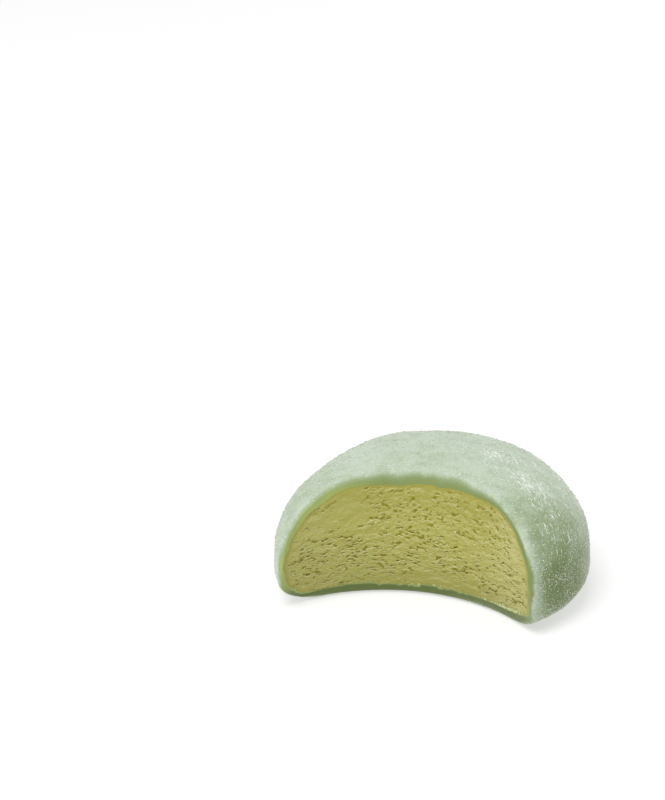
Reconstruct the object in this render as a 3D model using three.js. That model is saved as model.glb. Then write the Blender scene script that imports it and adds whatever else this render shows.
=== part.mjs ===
/**
 * Bitten mochi ice cream.
 *
 * A bun of green tea ice cream in a thin skin of soft rice dough. It stands on its flat base, and one bite
 * has been taken out of its front. Two closed solids, one filling the other:
 *
 *   mochi_skin         the dough, open at the bite, with a soft lip that rolls over to the filling
 *   ice_cream_filling  the ice cream, which fills the skin and shows its rough face in the bite
 *
 * Millimetres. +X is the right of somebody who faces the bite, +Y points away from them and +Z is up.
 * The origin is on the surface that the bun stands on, under the middle of its bounding box.
 */
import * as THREE from 'three';
import { ParametricGeometry } from 'three/addons/geometries/ParametricGeometry.js';
import { mergeVertices } from 'three/addons/utils/BufferGeometryUtils.js';

// The whole bun, as it was before the bite
const BUN_HALF_WIDTH = 23.75;
const BUN_HALF_DEPTH = 25.65;
const GIRTH_HEIGHT = 5.3; // height of its widest outline
const CROWN_RISE = 15.2; // from the widest outline up to the crown
const BELLY_DROP = 7.75; // how far below the widest outline the belly would close, if the base didn't cut it
const CROWN_POWER = 2.7; // 2 is an ellipse, and more gives fuller shoulders
const BELLY_POWER = 2.3;
const BASE_ROUNDING = 1.0; // softens the edge between the belly and the flat base

// It was shaped by hand, so its outline bulges a little in three directions and in two
const THREE_BULGES = { size: 0.042, at: THREE.MathUtils.degToRad(-15), count: 3 };
const TWO_BULGES = { size: 0.019, at: THREE.MathUtils.degToRad(45), count: 2 };
const BULGES_FADE = 0.45; // sine of the direction from which the bulges fade, so that the back is round
const DENT_DEPTH = 0.12; // shallow finger dents all over
const DENT_PITCH = 11;

// The dough
const SKIN_AT_SIDE = 0.83;
const SKIN_AT_CROWN = 1.7;
const SKIN_AT_BASE = 1.86;
const CAVITY_CROWN_POWER = 2.85;
const CAVITY_EDGE_ROUNDING = 4; // between the cavity's wall and its floor
const FILLING_EDGE_ROUNDING = 4.6;
const GAP = 0.3; // clearance between the dough and the filling

// The bite: an arc in plan, and a slight belly from top to bottom
const BITE_RADIUS = 23.8;
const BITE_DEEPEST = -6.94; // where the deepest point of the arc lies, from the bun's middle
const BITE_SIDEWAYS = -0.12;
const BITE_BELLY = 0.025; // how fast the face falls back above and below its middle height
const BITE_MIDDLE_HEIGHT = 9.4;

// The lip of dough round the bite: how far its rounding reaches back over the outside
const LIP_AT_CROWN = 2.3;
const LIP_AT_SIDE = 1.1;
const LIP_AT_BASE = 0.85;
const LIP_ACROSS = 0.4; // share of the cut edge that the rounding takes up

// The filling's face
const FACE_RECESS = 0.25; // behind the edge of the dough
const FACE_RELIEF = 0.28; // height of the torn ridges
const RIDGE_LENGTH = 2.6; // the ridges lie along the bite
const RIDGE_HEIGHT = 1.1;
const FACE_MARGIN = 0.9; // beyond this share of the face, the ridges die away toward its edge

// How finely the surfaces are divided
const SLICES = 84; // round the axis through the bite
const BACK_RINGS = 17; // from the back of the bun to the lip
const LIP_RINGS = 5;
const CAVITY_RINGS = 11;
const FACE_RINGS = 17;
const RIM_SAMPLES = 360; // for measuring the rim of the bite
const HEIGHT_WEIGHT = 2; // height along the rim counts double, so its corners get more slices

// A point inside the bun that every part of its surface can be seen from
const HEART = new THREE.Vector3(0, 6, 8);
const FURTHEST = 60; // longer than any line from the heart to the surface
const HALVINGS = 44; // steps of bisection

const DOUGH = {
  halfWidth: BUN_HALF_WIDTH,
  halfDepth: BUN_HALF_DEPTH,
  crownRise: CROWN_RISE,
  crownPower: CROWN_POWER,
  floor: 0,
  edge: BASE_ROUNDING,
  dents: DENT_DEPTH,
};
const CAVITY = hollow(0, CAVITY_EDGE_ROUNDING);
const FILLING = hollow(GAP, FILLING_EDGE_ROUNDING);

/** The room inside the skin, or something smaller all round by a clearance. */
function hollow(clearance, edge) {
  return {
    halfWidth: BUN_HALF_WIDTH - SKIN_AT_SIDE - clearance,
    halfDepth: BUN_HALF_DEPTH - SKIN_AT_SIDE - clearance,
    crownRise: CROWN_RISE - SKIN_AT_CROWN - clearance,
    crownPower: CAVITY_CROWN_POWER,
    floor: SKIN_AT_BASE + clearance,
    edge,
    dents: 0,
  };
}

/** The greater of two numbers, with the corner where they cross rounded off. */
function smoothMax(a, b, rounding) {
  const overlap = Math.max(rounding - Math.abs(a - b), 0) / rounding;
  return Math.max(a, b) + (overlap * overlap * rounding) / 4;
}

/** The share by which a bulge swells the outline in one direction. */
function swell(bulges, direction) {
  return bulges.size * Math.cos(bulges.count * (direction - bulges.at));
}

/** Shallow dents, as fingers leave: three slow waves that cross each other. */
function dents(p) {
  const turn = (2 * Math.PI) / DENT_PITCH;
  const along = Math.sin(turn * (p.x + 0.4 * p.z) + 0.7);
  const across = Math.sin(turn * (0.9 * p.y - 0.5 * p.x) + 2.1);
  const slanted = Math.sin(turn * (0.6 * p.x + 0.7 * p.y + 0.8 * p.z));
  return (along + across + slanted) / 3;
}

/** Roughly how far a point is outside a bun, in millimetres; below zero it is inside. */
function level(bun, p) {
  const direction = Math.atan2(p.y, p.x);
  const fade = 1 - THREE.MathUtils.smoothstep(Math.sin(direction), BULGES_FADE, 1);
  const outline = 1 + fade * (swell(THREE_BULGES, direction) + swell(TWO_BULGES, direction));
  const reach = Math.hypot(p.x / bun.halfWidth, p.y / bun.halfDepth) / outline;
  const rise = p.z - GIRTH_HEIGHT;
  const power = rise > 0 ? bun.crownPower : BELLY_POWER;
  const height = rise > 0 ? rise / bun.crownRise : -rise / BELLY_DROP;
  const size = (reach ** power + height ** power) ** (1 / power);
  const dome = (1 - 1 / size) * Math.hypot(p.x, p.y, rise) + bun.dents * dents(p);
  return smoothMax(dome, bun.floor - p.z, bun.edge);
}

/** How far along Y the bite reaches at a place on its face. */
function biteAt(x, z) {
  const sideways = x - BITE_SIDEWAYS;
  const arc = Math.sqrt(Math.max(BITE_RADIUS ** 2 - sideways ** 2, 0)) - BITE_RADIUS;
  return BITE_DEEPEST + arc + BITE_BELLY * (z - BITE_MIDDLE_HEIGHT) ** 2;
}

/** The number between two limits at which a test stops being true. */
function bisect(low, high, test) {
  for (let step = 0; step < HALVINGS; step += 1) {
    const middle = (low + high) / 2;
    if (test(middle)) low = middle;
    else high = middle;
  }
  return low;
}

/**
 * The point of a bun's surface that lies in one direction from its heart. The polar angle is 0 at the back
 * and grows toward the bite. The turn goes round the axis through the bite.
 */
function surfacePoint(bun, polar, turn) {
  const sine = Math.sin(polar);
  const direction = new THREE.Vector3(sine * Math.cos(turn), Math.cos(polar), sine * Math.sin(turn));
  const at = (distance) => HEART.clone().addScaledVector(direction, distance);
  const point = at(bisect(0, FURTHEST, (distance) => level(bun, at(distance)) < 0));
  if (Math.abs(point.z - bun.floor) < 1e-6) point.z = bun.floor;
  return point;
}

/** The polar angle at which a bun's surface meets the bite. */
function rimPolar(bun, turn) {
  return bisect(0.3, 0.98 * Math.PI, (polar) => {
    const p = surfacePoint(bun, polar, turn);
    return p.y > biteAt(p.x, p.z);
  });
}

/** The place on the rim of the bite at one turn. */
function rimPoint(turn) {
  return surfacePoint(DOUGH, rimPolar(DOUGH, turn), turn);
}

/** Turns that divide the rim of the bite evenly. */
function spreadTurns() {
  const lengths = [0];
  let last = rimPoint(0);
  for (let sample = 1; sample <= RIM_SAMPLES; sample += 1) {
    const point = rimPoint((2 * Math.PI * sample) / RIM_SAMPLES);
    lengths.push(lengths.at(-1) + Math.hypot(point.x - last.x, HEIGHT_WEIGHT * (point.z - last.z)));
    last = point;
  }
  return Array.from({ length: SLICES }, (_, slice) => {
    const wanted = (lengths.at(-1) * slice) / SLICES;
    const after = Math.max(lengths.findIndex((length) => length > wanted), 1);
    const share = (wanted - lengths[after - 1]) / (lengths[after] - lengths[after - 1]);
    return (2 * Math.PI * (after - 1 + share)) / RIM_SAMPLES;
  });
}

/** How far the lip's rounding reaches back over the outside, at one turn round the bite. */
function lipReach(turn) {
  const up = Math.sin(turn);
  return THREE.MathUtils.lerp(LIP_AT_SIDE, up > 0 ? LIP_AT_CROWN : LIP_AT_BASE, Math.abs(up));
}

/** A repeatable number from -1 to 1 for each knot of a grid. */
function knot(column, row) {
  const wave = Math.sin(column * 127.1 + row * 311.7) * 43758.5453;
  return 2 * (wave - Math.floor(wave)) - 1;
}

/** Torn ridges of the ice cream: smooth noise, longer along the bite than it is high. */
function ridges(x, z) {
  const column = Math.floor(x / RIDGE_LENGTH);
  const row = Math.floor(z / RIDGE_HEIGHT);
  const along = THREE.MathUtils.smoothstep(x / RIDGE_LENGTH - column, 0, 1);
  const up = THREE.MathUtils.smoothstep(z / RIDGE_HEIGHT - row, 0, 1);
  const lower = THREE.MathUtils.lerp(knot(column, row), knot(column + 1, row), along);
  const upper = THREE.MathUtils.lerp(knot(column, row + 1), knot(column + 1, row + 1), along);
  return THREE.MathUtils.lerp(lower, upper, up);
}

/** Rings of a bun's surface from its back, where the share is 0, to a polar angle, where it is 1. */
function backRings(bun, turn, polar, count) {
  const shares = Array.from({ length: count + 1 }, (_, ring) => ring / count);
  return shares.map((share) => surfacePoint(bun, share * polar, turn));
}

/** One slice of the skin: its outside, its lip, the cut edge, and back along the cavity. */
function skinSlice(turn) {
  const outerPolar = rimPolar(DOUGH, turn);
  const innerPolar = rimPolar(CAVITY, turn);
  const corner = surfacePoint(DOUGH, outerPolar, turn);
  const innerEdge = surfacePoint(CAVITY, innerPolar, turn);
  const lipPolar = outerPolar - lipReach(turn) / corner.distanceTo(HEART);
  const cut = corner.clone().lerp(innerEdge, LIP_ACROSS);
  cut.y = biteAt(cut.x, cut.z);
  const outside = backRings(DOUGH, turn, lipPolar, BACK_RINGS);
  const lip = new THREE.QuadraticBezierCurve3(outside.at(-1), corner, cut).getPoints(LIP_RINGS);
  const inside = backRings(CAVITY, turn, innerPolar, CAVITY_RINGS).reverse();
  return [...outside, ...lip.slice(1), ...inside];
}

/** One slice of the filling: its back, and its face from the edge to the middle of the bite. */
function fillingSlice(turn) {
  const back = backRings(FILLING, turn, rimPolar(FILLING, turn), CAVITY_RINGS);
  const edge = back.at(-1);
  const face = [];
  for (let ring = 0; ring <= FACE_RINGS; ring += 1) {
    const share = 1 - ring / FACE_RINGS;
    const x = THREE.MathUtils.lerp(HEART.x, edge.x, share);
    const z = THREE.MathUtils.lerp(HEART.z, edge.z, share);
    const strength = 1 - THREE.MathUtils.smoothstep(share, FACE_MARGIN, 1);
    face.push(new THREE.Vector3(x, biteAt(x, z) + FACE_RECESS + FACE_RELIEF * strength * ridges(x, z), z));
  }
  return [...back.slice(0, -1), ...face];
}

/** A closed solid through slices set round the axis of the bite. Each slice runs from pole to pole. */
function solidFromSlices(makeSlice) {
  const slices = TURNS.map(makeSlice);
  const rings = slices[0].length - 1;
  const sweep = (u, v, target) => {
    const slice = slices[Math.round(u * SLICES) % SLICES];
    target.copy(slice[Math.round(v * rings)]);
  };
  const swept = new ParametricGeometry(sweep, SLICES, rings);
  swept.deleteAttribute('normal');
  swept.deleteAttribute('uv');
  const merged = mergeVertices(swept);
  const corners = merged.getIndex().array;
  const kept = [];
  for (let first = 0; first < corners.length; first += 3) {
    const [a, b, c] = corners.slice(first, first + 3);
    const collapsed = a === b || b === c || c === a;
    if (!collapsed) kept.push(a, b, c);
  }
  merged.setIndex(kept);
  merged.computeVertexNormals();
  return merged;
}

const TURNS = spreadTurns();

/** Soft rice dough dusted with starch. */
function mochiSkin() {
  const dough = new THREE.MeshStandardMaterial({ color: '#bccab1', roughness: 0.8, metalness: 0 });
  const mesh = new THREE.Mesh(solidFromSlices(skinSlice), dough);
  mesh.name = 'mochi_skin';
  return mesh;
}

/** Frozen green tea ice cream. */
function iceCreamFilling() {
  const iceCream = new THREE.MeshStandardMaterial({ color: '#aca763', roughness: 0.65, metalness: 0 });
  const mesh = new THREE.Mesh(solidFromSlices(fillingSlice), iceCream);
  mesh.name = 'ice_cream_filling';
  return mesh;
}

const bun = new THREE.Group();
bun.add(mochiSkin(), iceCreamFilling());

// The origin goes under the middle of the bounding box
const middle = new THREE.Box3().setFromObject(bun).getCenter(new THREE.Vector3());
bun.position.set(-middle.x, -middle.y, 0);

const bittenMochi = new THREE.Group();
bittenMochi.add(bun);

export default bittenMochi;
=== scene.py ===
# %% [markdown]
# # A bitten mochi ice cream
#
# Mochi ice cream is a ball of ice cream wrapped in a thin sheet of soft rice dough. The dough is sticky, so
# it is dusted with potato starch, and the bun sags a little under its own weight until it stands on a flat
# base. Here one bite has been taken out of the front. This notebook builds it in layers: the dough skin,
# the torn face of the ice cream, and then the starch, crystals and crumbs that make it look real.
#
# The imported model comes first. It holds the two plain solids that the dough and the ice cream stand for, and
# its box is the size that the finished pieces have to keep.

import itertools

import bpy
import numpy as np
from mathutils import Matrix, Vector


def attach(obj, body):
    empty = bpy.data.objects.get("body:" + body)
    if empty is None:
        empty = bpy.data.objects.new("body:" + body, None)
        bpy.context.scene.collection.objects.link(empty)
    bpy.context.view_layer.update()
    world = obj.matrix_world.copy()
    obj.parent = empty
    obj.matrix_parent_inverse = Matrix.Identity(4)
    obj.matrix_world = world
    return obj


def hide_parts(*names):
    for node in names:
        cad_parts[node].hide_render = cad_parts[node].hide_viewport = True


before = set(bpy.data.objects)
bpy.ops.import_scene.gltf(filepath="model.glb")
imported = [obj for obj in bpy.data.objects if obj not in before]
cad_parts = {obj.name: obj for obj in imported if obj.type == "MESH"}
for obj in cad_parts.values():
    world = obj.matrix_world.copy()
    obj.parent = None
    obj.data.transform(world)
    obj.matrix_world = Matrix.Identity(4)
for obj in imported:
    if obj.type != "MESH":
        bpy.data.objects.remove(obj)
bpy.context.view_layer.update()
MM = 0.001  # Blender's unit is the metre, and everything below is worked out in millimetres
TINY = 1e-12  # keeps a division from meeting zero

# %% [markdown]
# ## The whole bun
#
# A bun that was rolled between two hands is nearly round from above and sags into a low dome: full
# shoulders, the widest place low down, and a belly that tucks in under it to a flat base. It could be
# sculpted, or made from a sphere by pulling rings about. Here it is a formula instead. A superellipse says
# how far any point is outside the dome, and a soft maximum cuts the belly off at the base with a rounded
# edge. With a formula, the dough, the hollow in it and the filling are the same shape with a few numbers
# changed, so they fit each other exactly.

# %% Sizes of the bun, in millimetres
BUN_HALF_WIDTH = 23.75
BUN_HALF_DEPTH = 25.65
GIRTH_HEIGHT = 5.3  # height of the widest outline
CROWN_RISE = 15.2
BELLY_DROP = 7.75
CROWN_POWER = 2.7  # 2 is round, more is squarer
BELLY_POWER = 2.3
BASE_ROUNDING = 1.0
BULGES = ((0.042, np.radians(-15), 3), (0.019, np.radians(45), 2))  # size, direction, how many
BULGES_FADE = 0.45  # sine of the direction beyond which they fade out toward the back
DENT_DEPTH = 0.12
DENT_PITCH = 11.0

DOUGH = {
    "half_width": BUN_HALF_WIDTH,
    "half_depth": BUN_HALF_DEPTH,
    "crown_rise": CROWN_RISE,
    "crown_power": CROWN_POWER,
    "floor": 0.0,
    "edge": BASE_ROUNDING,
    "dents": DENT_DEPTH,
}
print("height of the dome:", GIRTH_HEIGHT + CROWN_RISE, "mm")


# %% Soft steps, bells and corners
def smooth_step(value, low, high):
    """0 below the low limit, 1 above the high one, and a soft slope between them."""
    share = np.clip((value - low) / (high - low), 0.0, 1.0)
    return share * share * (3.0 - 2.0 * share)


def bell(value, at, width):
    """1 at one place, and softly less on both sides of it."""
    return np.exp(-(((value - at) / width) ** 2))


def smooth_max(a, b, rounding):
    """The greater of two numbers, with the corner where they cross rounded off."""
    overlap = np.maximum(rounding - np.abs(a - b), 0.0) / rounding
    return np.maximum(a, b) + overlap * overlap * rounding / 4.0


print("soft step at a quarter of the way:", smooth_step(0.25, 0.0, 1.0))


# %% How far a point is outside a bun
def dents(p):
    """Shallow dents, as fingers leave: three slow waves that cross each other."""
    x, y, z = p[..., 0], p[..., 1], p[..., 2]
    turn = 2.0 * np.pi / DENT_PITCH
    along = np.sin(turn * (x + 0.4 * z) + 0.7)
    across = np.sin(turn * (0.9 * y - 0.5 * x) + 2.1)
    slanted = np.sin(turn * (0.6 * x + 0.7 * y + 0.8 * z))
    return (along + across + slanted) / 3.0


def level(bun, p):
    """Roughly how far a point is outside a bun, in millimetres. Below zero it is inside."""
    x, y, z = p[..., 0], p[..., 1], p[..., 2]
    direction = np.arctan2(y, x)
    fade = 1.0 - smooth_step(np.sin(direction), BULGES_FADE, 1.0)
    outline = 1.0
    for size, at, count in BULGES:
        outline = outline + fade * size * np.cos(count * (direction - at))
    reach = np.hypot(x / bun["half_width"], y / bun["half_depth"]) / outline
    rise = z - GIRTH_HEIGHT
    above = rise > 0
    power = np.where(above, bun["crown_power"], BELLY_POWER)
    height = np.where(above, rise / bun["crown_rise"], -rise / BELLY_DROP)
    size = np.maximum(reach**power + height**power, TINY) ** (1.0 / power)
    dome = (1.0 - 1.0 / size) * np.sqrt(x * x + y * y + rise * rise) + bun["dents"] * dents(p)
    return smooth_max(dome, bun["floor"] - z, bun["edge"])


print("a point 25 mm up is outside by", round(float(level(DOUGH, np.array([0.0, 0.0, 25.0]))), 1), "mm")

# %% [markdown]
# ## The bite
#
# Teeth leave an arc when seen from above and a slight belly from top to bottom. A Boolean cut would do it,
# but it leaves a hard edge and untidy faces, and the dough's edge is anything but hard: it is stretched
# and rolls over toward the ice cream. So the bite is one more formula, and every surface is drawn as
# slices that turn round an axis through the bite, like the segments of an orange seen from the bite. Each
# slice then ends exactly on the rim, and the lip can be shaped along it.

# %% The arc of the bite
BITE_RADIUS = 23.8
BITE_DEEPEST = -6.94
BITE_SIDEWAYS = -0.12
BITE_BELLY = 0.025
BITE_MIDDLE_HEIGHT = 9.4


def bite_at(x, z):
    """How far along Y the bite reaches at a place on its face."""
    sideways = x - BITE_SIDEWAYS
    arc = np.sqrt(np.maximum(BITE_RADIUS**2 - sideways**2, 0.0)) - BITE_RADIUS
    return BITE_DEEPEST + arc + BITE_BELLY * (z - BITE_MIDDLE_HEIGHT) ** 2


print("depth of the arc 20 mm to one side:", round(float(bite_at(20.0, 9.4)) - BITE_DEEPEST, 1), "mm")

# %% Finding the surface and the rim
HEART = np.array([0.0, 6.0, 8.0])  # every part of the surface can be seen from here
FURTHEST = 60.0
HALVINGS = 28
ON_FLOOR = 1e-5
RIM_SEARCH = (0.3, 0.98 * np.pi)  # the rim lies between these angles from the back


def bisect(low, high, test):
    """The numbers between two limits at which a test stops being true, one for each slice."""
    for _ in range(HALVINGS):
        middle = (low + high) / 2.0
        passed = test(middle)
        low = np.where(passed, middle, low)
        high = np.where(passed, high, middle)
    return low


def surface_point(bun, polar, turn):
    """The points of a bun's surface in some directions from its heart. The polar angle is 0 at the back."""
    sine = np.sin(polar)
    towards = np.stack([sine * np.cos(turn), np.cos(polar) + 0.0 * turn, sine * np.sin(turn)], axis=-1)
    start = np.zeros(towards.shape[:-1])

    def inside(distance):
        return level(bun, HEART + towards * distance[..., None]) < 0.0

    p = HEART + towards * bisect(start, start + FURTHEST, inside)[..., None]
    on_floor = np.abs(p[..., 2] - bun["floor"]) < ON_FLOOR
    p[on_floor, 2] = bun["floor"]
    return p


def rim_polar(bun, turn):
    """The polar angle at which a bun's surface meets the bite."""

    def behind_bite(polar):
        p = surface_point(bun, polar, turn)
        return p[..., 1] > bite_at(p[..., 0], p[..., 2])

    start = np.zeros_like(turn)
    return bisect(start + RIM_SEARCH[0], start + RIM_SEARCH[1], behind_bite)


def back_point(bun):
    """The point of a bun's surface straight behind its heart."""
    return surface_point(bun, np.zeros(1), np.zeros(1))[0]


print("back of the bun:", np.round(back_point(DOUGH), 2))

# %% Turns that divide the rim evenly
RIM_SAMPLES = 1440
RISE_WEIGHT = 1.4  # the rim gets its slices a little closer where it rises
fine_turns = np.linspace(0.0, 2.0 * np.pi, RIM_SAMPLES + 1)
fine_rim = surface_point(DOUGH, rim_polar(DOUGH, fine_turns), fine_turns)
rim_steps = np.hypot(np.diff(fine_rim[:, 0]), RISE_WEIGHT * np.diff(fine_rim[:, 2]))
rim_lengths = np.concatenate([[0.0], np.cumsum(rim_steps)])


def spread_turns(count):
    """Turns that divide the rim into pieces of the same length."""
    wanted = np.arange(count) * rim_lengths[-1] / count
    return np.interp(wanted, rim_lengths, fine_turns)


print("rim of the bite:", round(float(rim_lengths[-1]), 1), "mm")

# %% [markdown]
# ## Soft randomness
#
# Nothing on food repeats. Blender has noise textures, but they only act in a material, and here the
# surface itself has to be uneven. A small random lattice, blended smoothly from knot to knot, gives the
# same kind of noise to the mesh code. The seed is fixed, so the bun is the same every time.

# %% Noise for the mesh
LATTICE_SIDE = 64
LATTICE_START = 100.0  # keeps the lattice's own middle away from the bun
LATTICE = np.random.default_rng(7).uniform(-1.0, 1.0, (LATTICE_SIDE,) * 3)


def soft_noise(p, pitch):
    """Smooth random numbers from about -1 to 1 at each point, with a knot every so many millimetres."""
    q = np.asarray(p) / np.asarray(pitch) + LATTICE_START
    cell = np.floor(q).astype(int)
    share = q - cell
    share = share * share * (3.0 - 2.0 * share)
    total = 0.0
    for corner in itertools.product((0, 1), repeat=3):
        weight = np.prod(np.where(np.array(corner) == 1, share, 1.0 - share), axis=-1)
        knots = (cell + corner) % LATTICE_SIDE
        total = total + weight * LATTICE[knots[..., 0], knots[..., 1], knots[..., 2]]
    return total


def layered_noise(p, layers):
    """Several noises laid over each other. Each layer is a strength and a pitch."""
    return sum(strength * soft_noise(p, pitch) for strength, pitch in layers)


print("noise along the rim:", np.round(np.percentile(soft_noise(fine_rim, 2.0), (5, 50, 95)), 2))

# %% [markdown]
# ## Turning points into pieces
#
# Each piece is a list of points and a list of faces. Blender's mesh data takes both directly, which is
# quicker and more exact than adding faces with operators. Named attributes travel with the points: a
# material can read them, so the mesh code can tell it where the dough is bare or how deep a pit is.

# %% Closing rings into a surface, and finding the way out of it
def closed_slices(rings, first_pole, last_pole):
    """Points and faces of a closed surface: rings of the same number of points between two poles."""
    ring_count, slice_count = rings.shape[:2]
    points = np.concatenate([rings.reshape(-1, 3), [first_pole, last_pole]])
    here = np.arange(slice_count)
    after = (here + 1) % slice_count
    faces = []
    for ring in range(ring_count - 1):
        low = ring * slice_count
        high = low + slice_count
        faces.append(np.stack([low + here, low + after, high + after, high + here], axis=1))
    top = len(points) - 2
    last = (ring_count - 1) * slice_count
    fans = [np.stack([np.full(slice_count, top), after, here], axis=1)]
    fans.append(np.stack([np.full(slice_count, top + 1), last + here, last + after], axis=1))
    return points, np.concatenate(faces), np.concatenate(fans)


def outward(points, quads, triangles):
    """Unit normals at the points, worked out from the faces around them."""
    normals = np.zeros_like(points)
    for faces in (quads, triangles):
        corners = points[faces]
        across = np.cross(corners[:, 2] - corners[:, 0], corners[:, -1] - corners[:, 1])
        if faces.shape[1] == 3:
            across = np.cross(corners[:, 1] - corners[:, 0], corners[:, 2] - corners[:, 0])
        for column in range(faces.shape[1]):
            np.add.at(normals, faces[:, column], across)
    return normals / np.maximum(np.linalg.norm(normals, axis=1), TINY)[:, None]


# %% Making a mesh object
SHARP_ANGLE = np.radians(75)  # edges that bend more than this, such as the cut edge, stay crisp


def make_piece(name, points, quads=(), triangles=(), attributes=None):
    """A mesh object in the scene, from points in millimetres."""
    faces = [tuple(face) for face in quads] + [tuple(face) for face in triangles]
    mesh = bpy.data.meshes.new(name)
    mesh.from_pydata((points * MM).tolist(), [], faces)
    for key, values in (attributes or {}).items():
        mesh.attributes.new(key, "FLOAT", "POINT").data.foreach_set("value", values.astype(np.float32))
    mesh.polygons.foreach_set("use_smooth", np.ones(len(mesh.polygons), dtype=bool))
    mesh.set_sharp_from_angle(angle=SHARP_ANGLE)
    mesh.update()
    piece = bpy.data.objects.new(name, mesh)
    bpy.context.scene.collection.objects.link(piece)
    print(name, len(points), "points,", len(quads) * 2 + len(triangles), "triangles")
    return piece


# %% [markdown]
# ## The skin of rice dough
#
# The skin is about a millimetre thick at the sides and twice as thick over the crown and under the base.
# Where teeth went through, the dough was pinched: its outside rolls over in a soft lip, the rest of the edge
# is cut, and the line between dough and ice cream bends in and out. A solidify modifier would give an even
# thickness and a square edge, so each slice is drawn whole instead: over the outside from the back, round
# the lip as a Bezier arc, across the cut, and back along the hollow.

# %% Room inside the skin
SKIN_AT_SIDE = 0.964
SKIN_AT_CROWN = 1.823
SKIN_AT_BASE = 2.03
HOLLOW_CROWN_POWER = 2.85
HOLLOW_ROUNDING = 4.0


def hollow(clearance):
    """The room inside the skin, or something smaller all round by a clearance."""
    return {
        "half_width": BUN_HALF_WIDTH - SKIN_AT_SIDE - clearance,
        "half_depth": BUN_HALF_DEPTH - SKIN_AT_SIDE - clearance,
        "crown_rise": CROWN_RISE - SKIN_AT_CROWN - clearance,
        "crown_power": HOLLOW_CROWN_POWER,
        "floor": SKIN_AT_BASE + clearance,
        "edge": HOLLOW_ROUNDING,
        "dents": 0.0,
    }


HOLLOW = hollow(0.0)
print("skin at the back:", round(float(back_point(DOUGH)[1] - back_point(HOLLOW)[1]), 2), "mm thick")

# %% How far the lip rolls over
LIP_AT_CROWN = 2.3
LIP_AT_SIDE = 1.1
LIP_AT_BASE = 0.85
LEFT_CORNER_AT = 198.0  # degrees round the bite; the lower left corner is rounder
LEFT_CORNER_WIDTH = 13.0
LEFT_CORNER_LIP = 1.0


def lip_reach(turn):
    """How far the lip's rounding reaches back over the outside."""
    up = np.sin(turn)
    end = np.where(up > 0, LIP_AT_CROWN, LIP_AT_BASE)
    rounder = LEFT_CORNER_LIP * bell(np.degrees(turn), LEFT_CORNER_AT, LEFT_CORNER_WIDTH)
    return LIP_AT_SIDE + (end - LIP_AT_SIDE) * np.abs(up) + rounder


print("lip at the right, top, left and base:", np.round(lip_reach(np.radians([0, 90, 180, 270])), 2), "mm")

# %% How the inner edge wanders
RAGGED = 0.13  # how far the edge between dough and ice cream wanders
RAGGED_MORE_LOW = 1.3
RAGGED_LAYERS = ((0.5, 1.1), (0.5, 0.36))
RAGGED_FADE = 0.94  # share of the way to the rim at which it starts to wander
WAVES_FADE = 0.8
RIM_WAVES = (  # where round the bite, how wide, both in degrees, and how far outward
    (5, 8, 0.1),
    (22, 7, -0.32),
    (40, 8, 0.16),
    (78, 6, -0.19),
    (110, 8, -0.47),
    (125, 7, -0.24),
    (140, 7, 0.35),
    (180, 6, 0.37),
    (190, 5, -0.15),
    (201, 3.5, 0.9),
    (210, 5, -0.35),
    (228, 9, 0.38),
    (250, 12, 0.2),
    (287, 9, -0.22),
)


def rim_wave(p):
    """How far the inner edge bends outward, where the dough was pinched more or less."""
    turn = np.degrees(np.arctan2(p[..., 2] - HEART[2], p[..., 0] - HEART[0]))
    total = 0.0
    for at, width, size in RIM_WAVES:
        total = total + size * bell((turn - at + 180.0) % 360.0 - 180.0, 0.0, width)
    return total


def wander(p, share):
    """Moves points of the inner edge in or out a little, the nearer to the rim the more."""
    offset = p - HEART
    offset[..., 1] = 0.0
    away = offset / np.maximum(np.linalg.norm(offset, axis=-1), TINY)[..., None]
    rough = layered_noise(p * [1.0, 0.0, 1.0], RAGGED_LAYERS)
    low = 1.0 - smooth_step(p[..., 2], 1.8, 4.0)
    strength = RAGGED * (1.0 + RAGGED_MORE_LOW * low) * smooth_step(share, RAGGED_FADE, 1.0)
    shift = rough * strength + rim_wave(p) * smooth_step(share, WAVES_FADE, 1.0)
    moved = p + away * shift[..., None]
    moved[..., 1] += bite_at(moved[..., 0], moved[..., 2]) - bite_at(p[..., 0], p[..., 2])
    return moved


print("waves of the rim, in and out:", np.round(np.percentile(rim_wave(fine_rim), (0, 100)), 2), "mm")

# %% Where each slice has its corners
SKIN_SLICES = 480
LIP_ACROSS = 0.4  # share of the skin's thickness that the lip rolls over
turns = spread_turns(SKIN_SLICES)
outer_polar = rim_polar(DOUGH, turns)
inner_polar = rim_polar(HOLLOW, turns)
outer_edge = surface_point(DOUGH, outer_polar, turns)
inner_edge = surface_point(HOLLOW, inner_polar, turns)
lip_polar = outer_polar - lip_reach(turns) / np.linalg.norm(outer_edge - HEART, axis=1)
cut_start = outer_edge + LIP_ACROSS * (inner_edge - outer_edge)
cut_start[:, 1] = bite_at(cut_start[:, 0], cut_start[:, 2])
print("inner edge, lowest and highest:", np.round(np.percentile(inner_edge[:, 2], (0, 100)), 1), "mm")

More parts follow.
